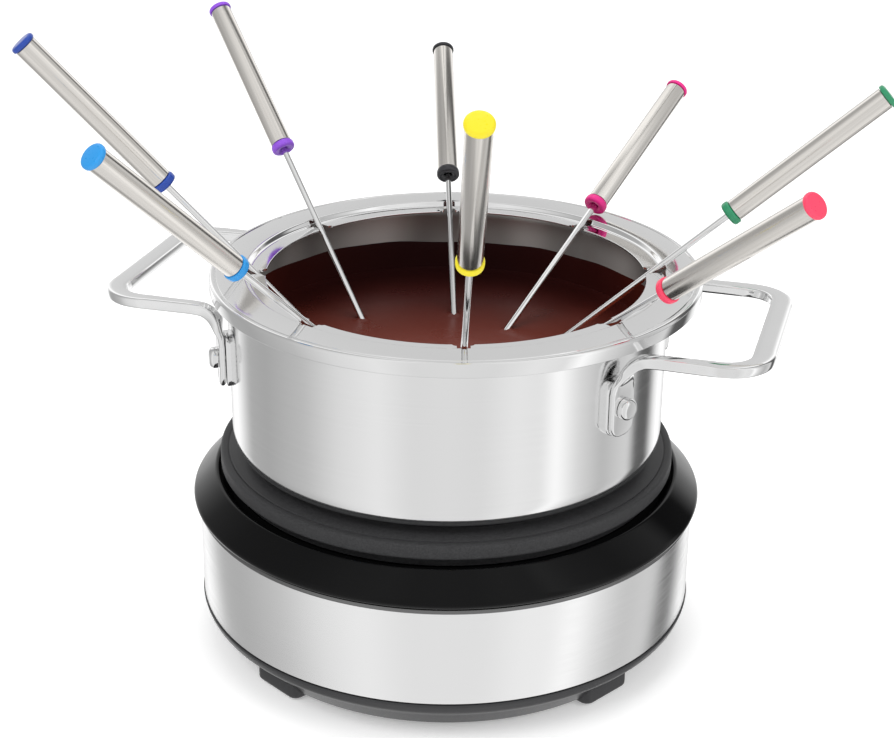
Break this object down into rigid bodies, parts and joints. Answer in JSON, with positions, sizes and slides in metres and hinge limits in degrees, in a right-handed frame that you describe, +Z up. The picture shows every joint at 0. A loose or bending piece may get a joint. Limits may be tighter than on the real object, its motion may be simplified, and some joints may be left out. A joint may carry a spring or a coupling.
{
  "type": "fondue pot set",
  "caption": "Electric fondue set: heated round base, steel pot of melted chocolate with bar handles, loose notched ring and long forks with coloured ends.",
  "frame": {"origin": "centre of the tray's flat underside, on the base's axis", "axes": "+Z up out of the pot, -Y towards the front, +X to the right"},
  "size_m": [0.3326, 0.3214, 0.2632],
  "materials": {
    "polished_steel": "polished",
    "brushed_steel": "brushed",
    "black_gloss": "gloss",
    "black_moulded": "satin",
    "rubber": "matte",
    "plate_coating": "matte non-stick coating",
    "element_sheath": "dull",
    "tinned_sheet": "plain",
    "phenolic": "matte",
    "ceramic": "matte",
    "chocolate": "wet gloss",
    "trim_yellow": "satin",
    "trim_red": "satin",
    "trim_green": "satin",
    "trim_pink": "satin",
    "trim_black": "satin",
    "trim_purple": "satin",
    "trim_blue": "satin",
    "trim_cyan": "satin"
  },
  "bodies": {
    "base": {"base_tray": "black_moulded", "foot_pad_1": "rubber", "foot_pad_2": "rubber", "foot_pad_3": "rubber", "foot_pad_4": "rubber", "steel_band": "brushed_steel", "shoulder_cover": "black_gloss", "hot_plate": "plate_coating", "heating_element": "element_sheath", "heat_shield": "tinned_sheet", "thermostat": "phenolic", "thermal_fuse": "ceramic", "terminal_block": "ceramic", "cord_gland": "rubber", "dial_ring": "black_moulded"},
    "knob": {"temperature_knob": "black_moulded", "knob_shaft": "tinned_sheet"},
    "pot": {"pot_shell": "polished_steel", "pot_base_disc": "brushed_steel", "pot_handle_right": "polished_steel", "pot_handle_left": "polished_steel", "handle_rivet_1": "polished_steel", "handle_rivet_2": "polished_steel", "handle_rivet_3": "polished_steel", "handle_rivet_4": "polished_steel", "chocolate": "chocolate"},
    "rack": {"fork_rack": "polished_steel"},
    "fork_yellow": {"fork_yellow_tines": "polished_steel", "fork_yellow_collar": "trim_yellow", "fork_yellow_handle": "brushed_steel", "fork_yellow_cap": "trim_yellow"},
    "fork_red": {"fork_red_tines": "polished_steel", "fork_red_collar": "trim_red", "fork_red_handle": "brushed_steel", "fork_red_cap": "trim_red"},
    "fork_green": {"fork_green_tines": "polished_steel", "fork_green_collar": "trim_green", "fork_green_handle": "brushed_steel", "fork_green_cap": "trim_green"},
    "fork_pink": {"fork_pink_tines": "polished_steel", "fork_pink_collar": "trim_pink", "fork_pink_handle": "brushed_steel", "fork_pink_cap": "trim_pink"},
    "fork_black": {"fork_black_tines": "polished_steel", "fork_black_collar": "trim_black", "fork_black_handle": "brushed_steel", "fork_black_cap": "trim_black"},
    "fork_purple": {"fork_purple_tines": "polished_steel", "fork_purple_collar": "trim_purple", "fork_purple_handle": "brushed_steel", "fork_purple_cap": "trim_purple"},
    "fork_blue": {"fork_blue_tines": "polished_steel", "fork_blue_collar": "trim_blue", "fork_blue_handle": "brushed_steel", "fork_blue_cap": "trim_blue"},
    "fork_cyan": {"fork_cyan_tines": "polished_steel", "fork_cyan_collar": "trim_cyan", "fork_cyan_handle": "brushed_steel", "fork_cyan_cap": "trim_cyan"}
  },
  "joints": [
    {"name": "pot_lift", "type": "slide", "parent": "base", "child": "pot", "axis": [0, 0, 1], "range_m": [0, 0.1]},
    {"name": "rack_lift", "type": "slide", "parent": "pot", "child": "rack", "axis": [0, 0, 1], "range_m": [0, 0.1]},
    {"name": "knob_turn", "type": "hinge", "parent": "base", "child": "knob", "pos_m": [0.06569, 0.07829, 0.029], "axis": [0.6428, 0.766, 0], "range_deg": [0, 270]},
    {"name": "fork_yellow_draw", "type": "slide", "parent": "rack", "child": "fork_yellow", "axis": [0.0228, -0.5944, 0.8039], "range_m": [0, 0.04]},
    {"name": "fork_red_draw", "type": "slide", "parent": "rack", "child": "fork_red", "axis": [0.5528, -0.5586, 0.6184], "range_m": [0, 0.066]},
    {"name": "fork_green_draw", "type": "slide", "parent": "rack", "child": "fork_green", "axis": [0.7528, -0.054, 0.6561], "range_m": [0, 0.059]},
    {"name": "fork_pink_draw", "type": "slide", "parent": "rack", "child": "fork_pink", "axis": [0.5205, 0.6833, 0.512], "range_m": [0, 0.086]},
    {"name": "fork_black_draw", "type": "slide", "parent": "rack", "child": "fork_black", "axis": [-0.0392, 0.832, 0.5534], "range_m": [0, 0.079]},
    {"name": "fork_purple_draw", "type": "slide", "parent": "rack", "child": "fork_purple", "axis": [-0.4143, 0.6142, 0.6717], "range_m": [0, 0.057]},
    {"name": "fork_blue_draw", "type": "slide", "parent": "rack", "child": "fork_blue", "axis": [-0.6487, -0.1062, 0.7536], "range_m": [0, 0.045]},
    {"name": "fork_cyan_draw", "type": "slide", "parent": "rack", "child": "fork_cyan", "axis": [-0.5458, -0.4778, 0.6884], "range_m": [0, 0.054]}
  ]
}
